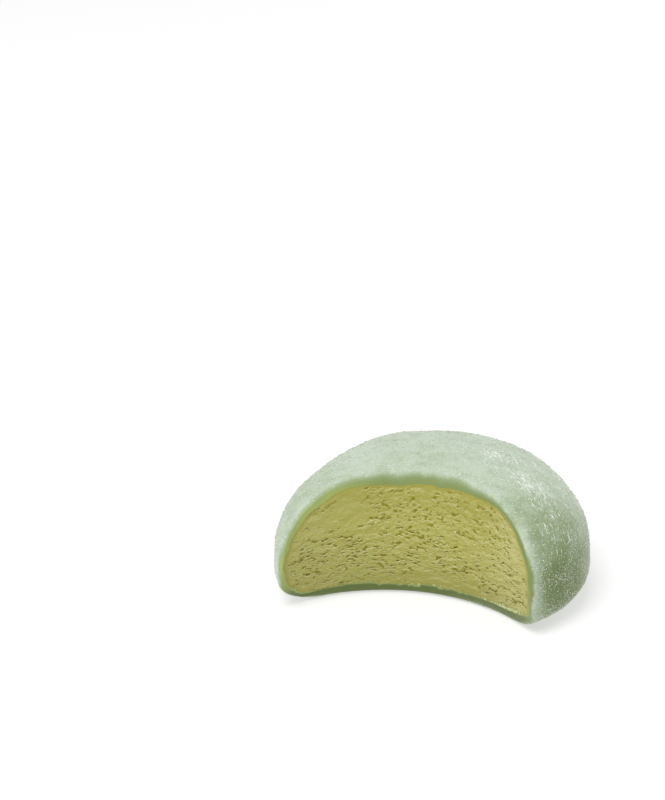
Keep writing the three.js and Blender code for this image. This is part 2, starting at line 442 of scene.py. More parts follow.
# %% Draw the slices of the skin
OUTSIDE_RINGS = 165
LIP_RINGS = 14
CUT_RINGS = 4
HOLLOW_RINGS = 18
shares = np.linspace(0.0, 1.0, OUTSIDE_RINGS + 1)[1:, None]
outside = surface_point(DOUGH, shares * lip_polar, turns + 0.0 * shares)
t = np.linspace(0.0, 1.0, LIP_RINGS + 1)[1:, None, None]  # the way along the Bezier arc
lip = (1 - t) ** 2 * outside[-1] + 2 * t * (1 - t) * outer_edge + t**2 * cut_start
inner_shares = np.linspace(1.0, 0.0, HOLLOW_RINGS + 1)[:-1, None]
inside = surface_point(HOLLOW, inner_shares * inner_polar, turns + 0.0 * inner_shares)
inside = wander(inside, inner_shares + 0.0 * turns)
cut_share = np.linspace(0.0, 1.0, CUT_RINGS + 1)[1:-1, None, None]
cut = (1 - cut_share) * cut_start + cut_share * inside[0]
skin_rings = np.concatenate([outside, lip, cut, inside])
skin_points, skin_quads, skin_fans = closed_slices(skin_rings, back_point(DOUGH), back_point(HOLLOW))
skin_out = outward(skin_points, skin_quads, skin_fans)
print("skin faces outward:", bool(skin_out[np.argmax(skin_points[:, 2]), 2] > 0))

# %% [markdown]
# One measurement steers the rest. `from_rim` is how far a point on the outside is from the ice cream,
# measured over the surface, and it tells where fingers and teeth rubbed the starch off.

# %% Measure the outside
FAR = 60.0
steps = np.linalg.norm(np.diff(skin_rings, axis=0), axis=2)
lengths = np.concatenate([np.zeros((1, SKIN_SLICES)), np.cumsum(steps, axis=0)])
edge_ring = OUTSIDE_RINGS + LIP_RINGS - 1
core_ring = edge_ring + CUT_RINGS
from_rim = lengths[core_ring] - lengths


def on_points(ring_values, pole_values=(0.0, 0.0)):
    """Values on the rings, or one for each slice, and on the two poles, as one list for all points."""
    return np.concatenate([(ring_values + 0.0 * from_rim).reshape(-1), pole_values])


skin_from_rim = on_points(from_rim, (FAR, -FAR))
ring_numbers = on_points(np.arange(len(skin_rings))[:, None], (0, len(skin_rings)))
is_outer = ring_numbers <= edge_ring
print("from the rim to the back, over the surface:", round(float(from_rim.max()), 1), "mm")

# %% [markdown]
# Dough that was pulled round a ball by hand is never quite smooth: it has faint lumps a few millimetres
# wide, and smaller ones where starch was pressed in. A bump map would show them inside the outline only, so
# they are real: three noises move the points in and out by a few hundredths of a millimetre.

# %% Small relief of the dough
SKIN_RELIEF = ((0.045, 2.6), (0.022, 0.8), (0.018, 0.42))  # height and pitch
relief = layered_noise(skin_points, SKIN_RELIEF)
relief *= smooth_step(skin_points[:, 2], 0.05, 1.2) * is_outer * smooth_step(skin_from_rim, 0.4, 2.5)
skin_points = skin_points + skin_out * relief[:, None]
skin_points[:, 2] = np.maximum(skin_points[:, 2], 0.0)

whole_box = skin_points.min(axis=0), skin_points.max(axis=0)
MIDDLE = (whole_box[0] + whole_box[1]) / 2.0 * [1.0, 1.0, 0.0]
print("skin box in mm:", np.round(whole_box[0] - MIDDLE, 2), np.round(whole_box[1] - MIDDLE, 2))

# %% [markdown]
# ## Where the starch lies
#
# Potato starch was dusted over the bun, and then it was rubbed, shaken and melted off again in places. A
# painted mask could say where, but the picture would have to travel with the model. Here every amount is
# worked out from height, direction and distance to the bite, and kept as an attribute that the dough's
# material reads. In every soft step below, the two numbers say where it begins and where it is complete:
# heights and distances in millimetres, directions as a sine or cosine.
#
# First the starch that fell. It lies thickest on the crown and on the left shoulder, thins out down the
# right side, and gathers a little behind, where nobody touched the bun. The extra pallor of the left shoulder
# is partly painted light, and the thinning down the right side is partly painted shade.

# %% Starch that fell on the dough, with painted light on the left and painted shade down the right
MOST_DUST = 0.93  # 1 would be dough that is wholly hidden under starch
# the left shoulder's share is starch and painted light; the right side's amounts below are starch and painted
# shade
LEFT_DUST_AND_LIGHT = 0.72
STEEP_DUST = 0.14
BACK_DUST = 0.3
BACK_LOW_DUST = 0.16
RIGHT_SIDE_HEIGHTS = (7.5, 10.0, 12.5, 15.5, 16.5, 17.7, 18.4, 19.0, 20.0)  # on the right side, in millimetres
RIGHT_SIDE_DUST_AND_SHADE = (0.05, 0.17, 0.42, 0.48, 0.54, 0.62, 0.66, 0.76, 0.88)

skin_height = skin_points[:, 2]
placed = skin_points - MIDDLE
skin_out = outward(skin_points, skin_quads, skin_fans)
facing = skin_out[:-2].reshape(skin_rings.shape).copy()
facing[OUTSIDE_RINGS:] = facing[OUTSIDE_RINGS - 1]  # the lip had the same starch as the outside next to it
facing = np.concatenate([facing.reshape(-1, 3), skin_out[-2:]])

on_left = STEEP_DUST * smooth_step(facing[:, 2], 0.1, 0.6) + LEFT_DUST_AND_LIGHT * smooth_step(-facing[:, 0], 0.0, 0.5)
on_left += (MOST_DUST - on_left) * smooth_step(facing[:, 2], 0.68, 0.93)
behind = smooth_step(placed[:, 1], -10.0, -4.5) * smooth_step(skin_height, 7.0, 14.5)
on_right = np.interp(skin_height, RIGHT_SIDE_HEIGHTS, RIGHT_SIDE_DUST_AND_SHADE) + BACK_DUST * behind
on_right = np.minimum(on_right + BACK_LOW_DUST * smooth_step(facing[:, 1], 0.3, 0.9), MOST_DUST)
right_share = np.maximum(smooth_step(skin_points[:, 0], 3.0, 9.0), smooth_step(facing[:, 1], 0.1, 0.85))
dusting = on_left + (on_right - on_left) * right_share
print("starch that fell, thinnest to thickest tenth:", np.round(np.percentile(dusting, (10, 50, 90)), 2))

# %% [markdown]
# The rim of the bite is not the same all round, so it gets named parts. Each is an amount from 0 to 1 for
# every slice, with soft ends, so that what is done to one part fades into the next.

# %% Parts of the rim
rightward = np.cos(turns)
upward = np.sin(turns)
edge_height = inner_edge[:, 2]
crown_part = smooth_step(upward, 0.55, 0.82)
crown_right = crown_part * smooth_step(rightward, 0.25, 0.6)
left_part = smooth_step(-rightward, 0.3, 0.7) * (1.0 - crown_part)
left_low = left_part * (1.0 - smooth_step(edge_height, 13.0, 16.0))
right_part = smooth_step(rightward, 0.3, 0.8) * smooth_step(edge_height, 4.5, 8.5)
right_part *= 1.0 - smooth_step(edge_height, 13.8, 16.0)
right_high = right_part * smooth_step(edge_height, 11.0, 13.0)
high_part = smooth_step(edge_height, 14.0, 16.5) * (1.0 - crown_part) * (1.0 - left_part)
base_part = 1.0 - smooth_step(edge_height, 2.4, 5.4)
rim_parts = {"crown": crown_part, "left": left_part, "right": right_part, "base": base_part}
print("slices in each part:", {name: int(np.sum(part > 0.5)) for name, part in rim_parts.items()})

# %% [markdown]
# Beside the bite lies a frosted band. The stretched dough sweated there, starch stuck to the damp and dried
# to a white bloom. It is widest low on the sides and faint over the crown. Two slow noises then make all of
# the starch cloudy, because powder never lies evenly.

# %% Frosted band beside the bite
FROST_AT = 1.3  # millimetres from the rim
FROST_WIDTH = 1.55
FROST_WIDER_LOW = 0.7
FROST_LOW = 0.94
FROST_LESS_HIGH = 0.38
FROST_LESS_ON_CROWN = 0.4
FROST_KEPT = 0.93  # share of it that was never rubbed off
FROST_LESS_ON_LEFT = 0.43
CLOUD_LAYERS = ((0.07, 5.5), (0.05, 1.8))  # strength and pitch

band_width = FROST_WIDTH + FROST_WIDER_LOW * (1.0 - smooth_step(skin_height, 5.0, 8.0))
frost = FROST_LOW - FROST_LESS_HIGH * smooth_step(skin_height, 7.5, 12.0)
frost -= FROST_LESS_ON_CROWN * smooth_step(skin_height, 13.0, 18.0)
frost *= FROST_KEPT - FROST_LESS_ON_LEFT * on_points(left_part)
frosted = dusting + frost * bell(skin_from_rim, FROST_AT, band_width)
dusting = np.minimum(frosted, np.maximum(dusting, MOST_DUST))
dusting = np.clip(dusting + layered_noise(skin_points, CLOUD_LAYERS), 0.0, 1.0)
print("starch in all:", round(float(dusting.mean()), 2))

# %% [markdown]
# On the lip the starch is gone: fingers and teeth wiped it off, and the green dough shows. How wide the bare
# lip is differs from part to part, and along the base it is widest.

# %% The bare lip
BARE_FROM = 0.4  # millimetres from the ice cream
BARE_TO = 0.95
LIP_PARTS = (  # a part of the rim, and by how much its bare lip fades later and ends later
    (crown_part, -0.08, 1.55),
    (left_part, -0.1, 1.3),
    (left_low, -0.15, -0.3),
    (right_part, 0.3, 0.4),
    (high_part, -0.2, -0.2),
    (right_high, 0.0, 0.15),
    (crown_right, -0.2, -0.85),
)
BASE_REACH = 4.4
BASE_REACH_LESS = 1.9  # toward the right end of the base
BASE_NARROWER = 0.4  # at the left end of the base
BASE_FADE = 1.4
RIM_RAGGED = 0.14

bare_from = np.full(SKIN_SLICES, BARE_FROM)
bare_to = np.full(SKIN_SLICES, BARE_TO)
for part, fades_later, ends_later in LIP_PARTS:
    bare_from += fades_later * part
    bare_to += ends_later * part
base_wide = base_part * (1.0 - smooth_step(rightward, 0.955, 0.99))
base_wide *= 1.0 - BASE_NARROWER * smooth_step(-rightward, 0.86, 0.95)
base_reach = BASE_REACH - BASE_REACH_LESS * smooth_step(rightward, 0.91, 0.955)
bare_from += (base_reach - BASE_FADE - bare_from) * base_wide
bare_to += (base_reach - bare_to) * base_wide
ragged_rim = from_rim + RIM_RAGGED * soft_noise(skin_rings, 0.8) * smooth_step(from_rim, 0.2, 1.2)
bare = 1.0 - smooth_step(ragged_rim, bare_from, bare_to)
print("bare lip ends at:", np.round(np.percentile(bare_to, (0, 50, 100)), 1), "mm")

# %% [markdown]
# At the front right, where the bun touches the table, starch was swept together into a thin white line on
# the dough's lower edge. It is a film here, and grains and clumps of their own are scattered on it later.

# %% White line on the low front edge
LINE_WIDTH = 0.45
LINE_FILM = 0.5
line_at = np.interp(rightward, (0.6, 0.85), (1.65, 2.45))  # millimetres from the ice cream
low_line = base_part * smooth_step(rightward, 0.4, 0.6) * (1.0 - smooth_step(rightward, 0.82, 0.9))
low_line = low_line * bell(from_rim, line_at, LINE_WIDTH) * (0.5 + 0.5 * soft_noise(skin_rings, 1.5))
bare = on_points(bare * (1.0 - LINE_FILM * low_line), (0.0, 1.0))
print("strongest place of the line:", round(float(low_line.max()), 2))

# %% [markdown]
# Three more amounts belong to the edge itself. The dough is thin and lets light through along the left,
# dark where it touches the table, partly damp and partly painted shade, and torn pale along a line of a few
# tenths of a millimetre where the teeth went through.

# %% Thin dough, damp dough with painted shade, and torn dough
TORN_WIDTH = 0.22
TORN_UNEVEN = 0.2
TORN_FADE = 0.15
thin = on_points(smooth_step(-rightward, 0.5, 0.95) * smooth_step(edge_height, 2.4, 5.4))
# darker low down where it touches the table: damp dough and painted shade
damp_and_shade = on_points(1.0 - smooth_step(edge_height, 2.2, 3.4)) * bare
torn_width = TORN_WIDTH + TORN_UNEVEN * soft_noise(skin_rings, 0.4)
teeth = on_points(base_part * (1.0 - smooth_step(from_rim, torn_width, torn_width + TORN_FADE)))
print("points that are thin, damp, torn:", [int(np.sum(values > 0.5)) for values in (thin, damp_and_shade, teeth)])

# %% [markdown]
# On the right shoulder the dough was stretched and then let go, so it crinkled. The crinkles are strongest
# in three round patches beside each other. The same amount steers the crinkles in the material and the
# streaks scattered on them later, both partly starch and partly painted glints.

# %% Crinkled patches on the right shoulder
CRINKLED_ALL_OVER = 0.14
CRINKLED_PATCHES = (  # place, radius, strength
    (8.6, 2.2, 4.0, 0.58),
    (14.6, -5.4, 4.2, 0.52),
    (17.4, -8.8, 3.4, 0.4),
)
streaky = CRINKLED_ALL_OVER * smooth_step(skin_points[:, 0], -1.0, 8.0) * smooth_step(skin_from_rim, 3.5, 7.5)
for patch_x, patch_y, patch_radius, strength in CRINKLED_PATCHES:
    apart = np.hypot(placed[:, 0] - patch_x, placed[:, 1] - patch_y) / patch_radius
    streaky = np.maximum(streaky, strength * (1.0 - smooth_step(apart, 0.35, 1.25)))
streaky *= smooth_step(skin_height, 9.0, 14.0)

skin_amounts = {
    "dusting": dusting,
    "bare": bare,
    "damp_and_shade": damp_and_shade,
    "teeth": teeth,
    "streaky": streaky,
    "thin": thin,
}
skin = make_piece("rice_dough_skin", placed, skin_quads, skin_fans, skin_amounts)
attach(skin, "root")
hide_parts("mochi_skin")

# %% [markdown]
# ## The ice cream's torn face
#
# Ice cream is a foam: it is full of air, and when it is bitten through it tears from bubble to bubble. The
# face is covered in small pits, wider than they are high, that string together into wavy chains, with a
# soft roughness between them and smooth patches where a tooth slid. A displacement texture could fake
# that, but the exported model would lose it, so the face is a fine grid and every pit is pressed into it.
# The grid is square, and it is bent to fill the outline of the bite.

# %% Outline of the face
FILLING_GAP = 0.01  # at the rim
FACE_COLUMNS = 450
FACE_ROWS = 190
OUTLINE_SQUASH = 0.42  # spreads the grid's corners over the low, wide outline

u, v = np.meshgrid(np.linspace(-1, 1, FACE_COLUMNS + 1), np.linspace(-1, 1, FACE_ROWS + 1))
disc_x = u * np.sqrt(1.0 - v * v / 2.0)
disc_z = v * np.sqrt(1.0 - u * u / 2.0)
radius = np.hypot(disc_x, disc_z)
grid_turns = np.arctan2(OUTLINE_SQUASH * disc_z, disc_x)
rim_filling = hollow(FILLING_GAP)
sample_rim = surface_point(rim_filling, rim_polar(rim_filling, fine_turns), fine_turns)
sample_rim = wander(sample_rim, np.ones_like(fine_turns))
rim_x = np.interp(np.mod(grid_turns, 2 * np.pi), fine_turns, sample_rim[:, 0])
rim_z = np.interp(np.mod(grid_turns, 2 * np.pi), fine_turns, sample_rim[:, 2])
face_x = HEART[0] + radius * (rim_x - HEART[0])
face_z = HEART[2] + radius * (rim_z - HEART[2])
from_edge = (1.0 - radius) * np.hypot(rim_x - HEART[0], rim_z - HEART[2])
along = BITE_RADIUS * np.arcsin(np.clip((face_x - BITE_SIDEWAYS) / BITE_RADIUS, -1, 1))
print("face grid:", face_x.shape, "about", round(float(along.max() - along.min()), 1), "mm along the bite")

# %% [markdown]
# Teeth don't tear the foam everywhere. Where one slid, the ice cream is smooth: here in soft clouds, on the
# left shoulder of the bite and along its lowest strip.


# %% Smooth patches
def smooth_patch(s, z):
    """1 where a tooth left the ice cream smooth, 0 where it tore."""
    cloud = smooth_step(soft_noise(np.stack([s, z, 0 * s], axis=-1), 4.2), 0.15, 0.6)
    left_shoulder = smooth_step(-s, 8.0, 12.0) * smooth_step(z, 9.0, 12.5)
    low_strip = 1.0 - smooth_step(z, 2.6, 4.6)
    return np.clip(0.6 * cloud + 0.7 * left_shoulder + 0.6 * low_strip, 0.0, 1.0)


torn = 1.0 - smooth_patch(along, face_z)
print("torn share of the face:", round(float(torn.mean()), 2))

# %% [markdown]
# Each pit is a short, wavy slot: a length, a height, a depth and a slope of its own. Its depth is greatest
# along the middle and its lower edge is pushed up into a small fold, because that is where the torn foam
# bends over. The pits come in rows of one to three, and high on the bite they are shallower.

# %% Where the pits are
PIT_ROWS = 245
PIT_ROW_REACH = 24.0  # along the bite, to both sides
PIT_ROW_HEIGHTS = (2.0, 18.5)
PIT_ROW_SLOPE = 0.2
PIT_ROW_UNEVEN = 0.14
PITS_IN_ROW = 3  # at most
PIT_LENGTH_LOG = (-0.58, 0.4)  # the usual length is 0.56 mm
PIT_LENGTHS = (0.3, 1.6)
PIT_HEIGHTS = (0.18, 0.34)
PIT_DEPTHS = (0.11, 0.25)
PIT_SLOPE = 0.15
PIT_SKIPPED = 0.85  # share of the rows that a smooth patch wipes away
pit_random = np.random.default_rng(21)


def pit_rows(count, random):
    """Rows of pits: centre along the bite and up, length, height, depth and slope."""
    pits = []
    for _ in range(count):
        s = random.uniform(-PIT_ROW_REACH, PIT_ROW_REACH)
        z = random.uniform(*PIT_ROW_HEIGHTS)
        slope = random.normal(0.0, PIT_ROW_SLOPE)
        if random.random() < PIT_SKIPPED * float(smooth_patch(np.array(s), np.array(z))):
            continue
        for _ in range(random.integers(1, PITS_IN_ROW + 1)):
            length = float(np.clip(random.lognormal(*PIT_LENGTH_LOG), *PIT_LENGTHS))
            height = random.uniform(*PIT_HEIGHTS) * min(1.0, 0.6 + 0.4 * length)
            depth = random.uniform(*PIT_DEPTHS) * float(np.interp(z, (11.0, 15.0), (1.0, 0.65)))
            pits.append((s, z, length, height, depth, slope + random.normal(0.0, PIT_SLOPE)))
            step = length * random.uniform(0.7, 1.1)
            s += step
            z += step * slope + random.normal(0.0, PIT_ROW_UNEVEN)
    return pits


pits = pit_rows(PIT_ROWS, pit_random)
print(len(pits), "pits")

# %% Press the pits into the face
PIT_RAGGED = 0.09  # ragged walls, so that no pit is a plain oval
PIT_WAVE = 0.07  # each slot waves up and down along its length
FOLD_RISE = 0.4
FOLD_AT = -1.55  # in half heights below the middle of the pit
FOLD_WIDTH = 0.55
WALL_FULL_DEPTH = 0.32  # a pit as deep as this has the darkest wall

spot = np.stack([along, face_z, 0 * along], axis=-1)
stagger = PIT_RAGGED * soft_noise(spot + 11.0, 0.45)
depth_field, wall_field, fold_field = np.zeros((3, *face_x.shape))
for pit_s, pit_z, length, height, depth, slope in pits:
    near = (np.abs(along - pit_s) < length) & (np.abs(face_z - pit_z) < length * 0.5 + 3 * height)
    if not near.any():
        continue
    ds = along[near] - pit_s
    dz = face_z[near] - pit_z + stagger[near]
    a = ds * np.cos(slope) + dz * np.sin(slope)
    b = dz * np.cos(slope) - ds * np.sin(slope)
    b = b - PIT_WAVE * np.sin(9.0 * a / max(length, 0.6) + 5.0 * pit_s)
    taper = np.maximum(1.0 - (2.0 * a / length) ** 2, 0.0)
    across = b / (0.5 * height * np.sqrt(taper) + 1e-6)
    hole = depth * np.sqrt(taper) * np.clip(1.0 - across**2, 0.0, 1.0) ** 0.8
    fold = FOLD_RISE * depth * taper * bell(across, FOLD_AT, FOLD_WIDTH)
    # the wall is where a pit's painted shade goes: its upper side, where the shadow falls
    wall = np.sqrt(taper * depth / WALL_FULL_DEPTH) * smooth_step(across, -1.0, -0.35)
    wall = wall * (1.0 - smooth_step(across, 0.8, 1.2))
    for field, pressed in ((depth_field, hole), (fold_field, fold), (wall_field, wall)):
        field[near] = np.maximum(field[near], pressed)
print("deepest pit:", round(float(depth_field.max()), 2), "mm")

# %% [markdown]
# Between the large pits the foam is finer. Burst bubbles a quarter of a millimetre high are noise that is
# cut off at a level, slow waves bend the whole face, and two fine noises give it its crumbly look. All of
# them are wider than they are high, and all are measured on a grid that is itself bent by noise, so that
# they don't line up.

# %% Small pits and roughness between the large ones
SMALL_PIT_DEPTH = 0.13
bend = np.stack([soft_noise(spot + 5.0, 1.3), soft_noise(spot + 9.0, 0.9), 0 * along], axis=-1)
bent = spot + 0.22 * bend


def foam_noise(part, width, height):
    """Noise on the bent face, wider than high. Each part of the lattice gives another pattern."""
    return soft_noise(bent + part, (width, height, 1.0))


bubbles = 0.6 * foam_noise(71.0, 0.6, 0.24) + 0.5 * foam_noise(23.0, 0.36, 0.18)
small_walls = smooth_step(bubbles, 0.34, 0.6) * (0.2 + 0.8 * torn)
small_pits = SMALL_PIT_DEPTH * small_walls
waves = 0.07 * soft_noise(spot, 5.0) + 0.05 * foam_noise(17.0, 1.6, 0.7)
rough = 0.035 * foam_noise(31.0, 0.7, 0.36) + 0.035 * foam_noise(53.0, 0.34, 0.22)
face_relief = waves + rough * (0.35 + 0.65 * torn)
print("relief of the face:", np.round(np.percentile(face_relief, (1, 99)), 2), "mm")

# %% Put the face together
FACE_RECESS = 0.06
edge_fade = smooth_step(from_edge, 0.0, 0.5)  # the relief dies out toward the dough
inward = (np.maximum(depth_field, small_pits) - fold_field - face_relief) * edge_fade
recess = FACE_RECESS * (0.4 + 0.6 * edge_fade)
sideways = face_x - BITE_SIDEWAYS
slope_x = -sideways / np.sqrt(np.maximum(BITE_RADIUS**2 - sideways**2, 1.0))
slope_z = 2.0 * BITE_BELLY * (face_z - BITE_MIDDLE_HEIGHT)
into = np.stack([-slope_x, np.ones_like(slope_x), -slope_z], axis=-1)
into /= np.linalg.norm(into, axis=-1)[..., None]
face = np.stack([face_x, bite_at(face_x, face_z) + recess, face_z], axis=-1)
face = face + into * inward[..., None]
print("the face reaches back to:", round(float(face[..., 1].max()), 1), "mm")

# %% [markdown]
# The back of the filling is never seen, but a closed solid needs it. It takes the grid's outer points all
# round, follows the hollow at a small clearance, and closes at a pole.

# %% Close the filling behind its face
FILLING_GAP_DEEP = 0.25
BACK_RINGS = 8
grid = np.arange(face_x.size).reshape(face_x.shape)
around = np.concatenate([grid[0, :-1], grid[:-1, -1], grid[-1, :0:-1], grid[:0:-1, 0]])
next_one = np.roll(np.arange(len(around)), -1)
rim_turns = np.mod(grid_turns.reshape(-1)[around], 2 * np.pi)
face_quads = np.stack([grid[:-1, :-1], grid[:-1, 1:], grid[1:, 1:], grid[1:, :-1]], axis=-1).reshape(-1, 4)
points = [face.reshape(-1, 3)]
quads = [face_quads]
loop = around
for ring in range(1, BACK_RINGS):
    share = 1.0 - ring / BACK_RINGS
    clearance = FILLING_GAP + (FILLING_GAP_DEEP - FILLING_GAP) * (1.0 - share**6)
    room = hollow(clearance)
    points.append(surface_point(room, share * rim_polar(room, rim_turns), rim_turns))
    following = face_x.size + (ring - 1) * len(around) + np.arange(len(around))
    quads.append(np.stack([loop, following, following[next_one], loop[next_one]], axis=1))
    loop = following
filling_points = np.concatenate([*points, [back_point(hollow(FILLING_GAP_DEEP))]])
filling_quads = np.concatenate(quads)
fan = np.stack([loop, np.full(len(loop), len(filling_points) - 1), loop[next_one]], axis=1)
print("filling:", len(filling_points), "points, of which", face_x.size, "on the face")

# %% [markdown]
# The ice cream's material wants to know more than the shape: how deep in a pit a point is, whether it is on
# a fold, how close the dough is, and whether the relief tilts up toward the light or down. Most of these
# steer painted shade and painted highlights in its colour.

# %% Amounts that the ice cream's material reads
face_up = outward(filling_points, filling_quads, fan)[: face_x.size, 2].reshape(face_x.shape)
tilt = (face_up + into[..., 2]) * edge_fade  # above zero where the relief faces up
outside_pits = 1.0 - np.clip(np.maximum(depth_field, small_pits) / 0.06, 0.0, 1.0)
# the painted light of up-facing relief stays out of the pits
tilt = np.where(tilt > 0.0, tilt * outside_pits, tilt)
print("tilt of the relief:", np.round(np.percentile(tilt, (5, 50, 95)), 2))
face_amounts = {
    # painted shade in the pits, on their upper walls
    "pit": np.maximum(wall_field, 0.6 * small_walls) * edge_fade,
    # painted highlight on the folds that face up, outside the pits
    "fold": fold_field * edge_fade * outside_pits * smooth_step(tilt, -0.15, 0.15),
    # painted shade along the edge where the ice cream meets the dough
    "near_edge": 1.0 - smooth_step(from_edge, 0.0, 0.7),
    "torn": torn,
    "tilt": tilt,
    # paler toward both ends of the bite: partly frost, partly painted light
    "frost_and_light": smooth_step(along, 8.0, 17.0) + 0.25 * smooth_step(-along, 11.0, 16.0),
    "shaded": smooth_step(face_z, 12.5, 17.0) + 0.7 * (1.0 - smooth_step(face_z, 3.0, 6.0)),
}


def on_filling(face_values):
    """Values on the face's grid, with zeros for the unseen back."""
    return np.concatenate([face_values.reshape(-1), np.zeros(len(filling_points) - face_x.size)])


filling_amounts = {name: on_filling(values) for name, values in face_amounts.items()}
filling = make_piece("ice_cream_core", filling_points - MIDDLE, filling_quads, fan, filling_amounts)
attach(filling, "root")
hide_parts("ice_cream_filling")

# %% [markdown]
# ## Starch, crystals and crumbs
#
# Potato starch clumps into grains that are just big enough to see. They catch the light as bright specks
# and make the outline faintly bumpy. Particle systems would scatter them, but the exported model would
# lose them, so each grain is a real lump: eight triangles, pulled out of shape, half sunk in the dough.
# All the grains together are one mesh.

# %% Random places on a surface
def places_on(points, quads, weights, count, random):
    """Random places on a surface and the way out from each. Faces with more weight get more of them."""
    corners = points[quads]
    across = np.cross(corners[:, 2] - corners[:, 0], corners[:, 3] - corners[:, 1])
    areas = np.linalg.norm(across, axis=1) / 2.0
    chance = areas * weights[quads].mean(axis=1)
    chosen = random.choice(len(quads), size=count, p=chance / chance.sum())
    s, t = random.random((2, count, 1))
    picked = corners[chosen]
    low = picked[:, 0] + s * (picked[:, 1] - picked[:, 0])
    high = picked[:, 3] + s * (picked[:, 2] - picked[:, 3])
    normals = across[chosen] / np.maximum(np.linalg.norm(across[chosen], axis=1), TINY)[:, None]
    return low + t * (high - low), normals


# %% Lumps on those places
OCTAHEDRON = np.array([[1, 0, 0], [-1, 0, 0], [0, 1, 0], [0, -1, 0], [0, 0, 1], [0, 0, -1]], dtype=float)
OCTAHEDRON_FACES = np.array(
    [[0, 2, 4], [2, 1, 4], [1, 3, 4], [3, 0, 4], [2, 0, 5], [1, 2, 5], [3, 1, 5], [0, 3, 5]]
)
UNEVEN = (0.7, 1.25)  # how far each corner is pulled in or out


def lumps(name, places, normals, sizes, random, stretch, flatness, sunk, ways=None):
    """A piece with an uneven octahedron at each place, longer one way, flat on the surface, partly sunk."""
    count = len(places)
    if ways is None:
        ways = random.normal(size=(count, 3))
    longer = random.uniform(*stretch, count)[:, None, None]
    side = np.cross(normals, ways)
    side /= np.maximum(np.linalg.norm(side, axis=1), TINY)[:, None]
    ahead = np.cross(side, normals)
    shape = OCTAHEDRON * random.uniform(*UNEVEN, (count, 6, 1)) * sizes[:, None, None]
    long_way = shape[..., 0:1] * ahead[:, None] * longer
    wide_way = shape[..., 1:2] * side[:, None]
    up_way = shape[..., 2:3] * normals[:, None] * flatness
    centres = places + normals * (sizes * flatness * (1.0 - 2.0 * sunk))[:, None]
    points = (centres[:, None] + long_way + wide_way + up_way).reshape(-1, 3)
    faces = (OCTAHEDRON_FACES + 6 * np.arange(count)[:, None, None]).reshape(-1, 3)
    return make_piece(name, points - MIDDLE, (), faces)


# %% [markdown]
# The finest powder lies low on the sides and thins out upward, where it has merged into a crust. Single
# granules are a few hundredths of a millimetre, so these lumps stand for several that stick together.

# %% Grains of starch all over the dough
GRAIN_COUNT = 24800
GRAIN_SIZE = 0.042  # half a width in millimetres
GRAIN_SIZES = (0.026, 0.14)
GRAINS_ON_LINE = 8.0  # how much closer together they lie on the white line
grain_random = np.random.default_rng(5)
outer_quads = skin_quads[: (edge_ring - 4) * SKIN_SLICES]
low_side = 1.0 - smooth_step(skin_height, 9.0, 15.0)
grain_density = (0.2 + low_side) * (0.6 + 0.4 * soft_noise(skin_points, 2.2)) ** 2
grain_density *= smooth_step(skin_height, 0.1, 0.5) * smooth_step(skin_from_rim, 1.2, 2.6)
grain_density += on_points(GRAINS_ON_LINE * low_line**2)
places, normals = places_on(skin_points, outer_quads, grain_density, GRAIN_COUNT, grain_random)
sizes = np.clip(grain_random.lognormal(np.log(GRAIN_SIZE), 0.38, GRAIN_COUNT), *GRAIN_SIZES)
form = {"stretch": (1.0, 1.5), "flatness": 0.75, "sunk": 0.3}
grains = lumps("starch_grains", places, normals, sizes, grain_random, **form)
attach(grains, "root")

# %% [markdown]
# On the crown the starch took up damp and set in soft clumps, a quarter of a millimetre wide. They are
# nearly the colour of the crust and show mostly as a bumpy outline. A few are part of the white line.

# %% Soft clumps on the crown
CLUMP_COUNT = 1600
CLUMP_SIZES = (0.08, 0.15)  # half a width in millimetres
CLUMPS_ON_LINE = 40.0
clump_random = np.random.default_rng(3)
clump_density = smooth_step(skin_height, 6.0, 12.0) * smooth_step(skin_from_rim, 5.0, 9.0)
clump_density += on_points(CLUMPS_ON_LINE * low_line**2)
places, normals = places_on(skin_points, outer_quads, clump_density, CLUMP_COUNT, clump_random)
sizes = clump_random.uniform(*CLUMP_SIZES, CLUMP_COUNT)
form = {"stretch": (1.0, 1.6), "flatness": 0.8, "sunk": 0.35}
clumps = lumps("starch_clumps", places, normals, sizes, clump_random, **form)
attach(clumps, "root")

# %% [markdown]
# Starch collected along the crinkles of the right shoulder, and the crinkles catch the light in glints. It
# shows as short pale dashes that all run the same way, slantwise down toward the bite, so the dashes are
# partly starch and partly painted glints. They are the same lumps again, five to fifteen times as long as
# they are wide.

# %% Streaks of starch and painted glints on the shoulder
STREAK_WAY = np.array([0.5, -0.68, -0.55])
STREAK_COUNT = 700
STREAK_SIZES = (0.032, 0.06)
STREAK_ANYWHERE = 1e-9  # the random choice wants a chance above zero
STREAK_SPREAD = 0.16  # how far the streaks turn away from their common way
streak_random = np.random.default_rng(9)
streak_density = streaky**1.5 * (0.6 + 0.4 * soft_noise(skin_points, 1.3)) ** 2 + STREAK_ANYWHERE
places, normals = places_on(skin_points, outer_quads, streak_density, STREAK_COUNT, streak_random)
streak_ways = STREAK_WAY + STREAK_SPREAD * streak_random.normal(size=places.shape)
sizes = streak_random.uniform(*STREAK_SIZES, STREAK_COUNT)
form = {"stretch": (5.0, 15.0), "flatness": 0.5, "sunk": 0.35, "ways": streak_ways}
streaks = lumps("starch_streaks_and_painted_glints", places, normals, sizes, streak_random, **form)
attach(streaks, "root")

# %% [markdown]
# The ice cream has its own small things: pale ice crystals that stand in the torn face, and a few crumbs
# of dough and starch that fell along the lower edge of the bite.

